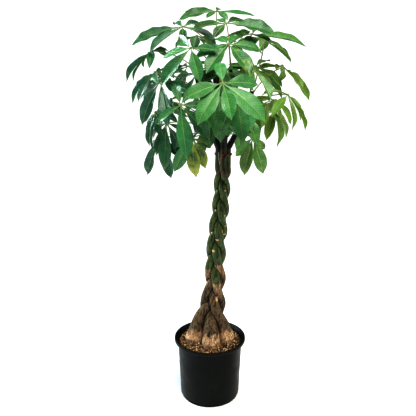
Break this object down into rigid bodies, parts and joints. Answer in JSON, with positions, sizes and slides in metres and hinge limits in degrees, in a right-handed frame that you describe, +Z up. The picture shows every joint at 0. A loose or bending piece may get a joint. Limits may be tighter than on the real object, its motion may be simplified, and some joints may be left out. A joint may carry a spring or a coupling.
{
  "type": "potted money tree",
  "caption": "Braided-trunk money tree with palmate leaves on long petioles, growing in a round black nursery pot.",
  "frame": {"origin": "centre of the pot's flat underside", "axes": "+Z up through the trunk, -Y towards the front, +X to the right seen from the front"},
  "size_m": [0.6155, 0.6261, 1.388],
  "materials": {
    "pot": "injection-moulded black polypropylene with a satin sheen",
    "compost": "loose composted bark chips with white perlite",
    "bark": "young smooth green bark above, corky brown bark at the swollen bases",
    "cord": "reddish brown twine",
    "leaf": "glossy green leaf with pale ribs"
  },
  "bodies": {
    "root": {"pot": "pot", "soil": "compost", "trunk_1": "bark", "trunk_2": "bark", "trunk_3": "bark", "trunk_4": "bark", "trunk_5": "bark", "tie": "cord", "leaf_01": "leaf", "leaf_02": "leaf", "leaf_03": "leaf", "leaf_04": "leaf", "leaf_05": "leaf", "leaf_06": "leaf", "leaf_07": "leaf", "leaf_08": "leaf", "leaf_09": "leaf", "leaf_10": "leaf", "leaf_11": "leaf", "leaf_12": "leaf", "leaf_13": "leaf", "leaf_14": "leaf", "leaf_15": "leaf", "leaf_16": "leaf", "leaf_17": "leaf", "leaf_18": "leaf", "leaf_19": "leaf", "leaf_20": "leaf", "leaf_21": "leaf", "leaf_22": "leaf", "leaf_23": "leaf", "leaf_24": "leaf", "leaf_25": "leaf", "leaf_26": "leaf", "leaf_27": "leaf", "leaf_28": "leaf", "leaf_29": "leaf", "leaf_30": "leaf", "leaf_31": "leaf", "leaf_32": "leaf", "leaf_33": "leaf", "leaf_34": "leaf", "leaf_35": "leaf", "leaf_36": "leaf", "leaf_37": "leaf", "leaf_38": "leaf", "leaf_39": "leaf", "leaf_40": "leaf", "leaf_41": "leaf"}
  },
  "joints": []
}
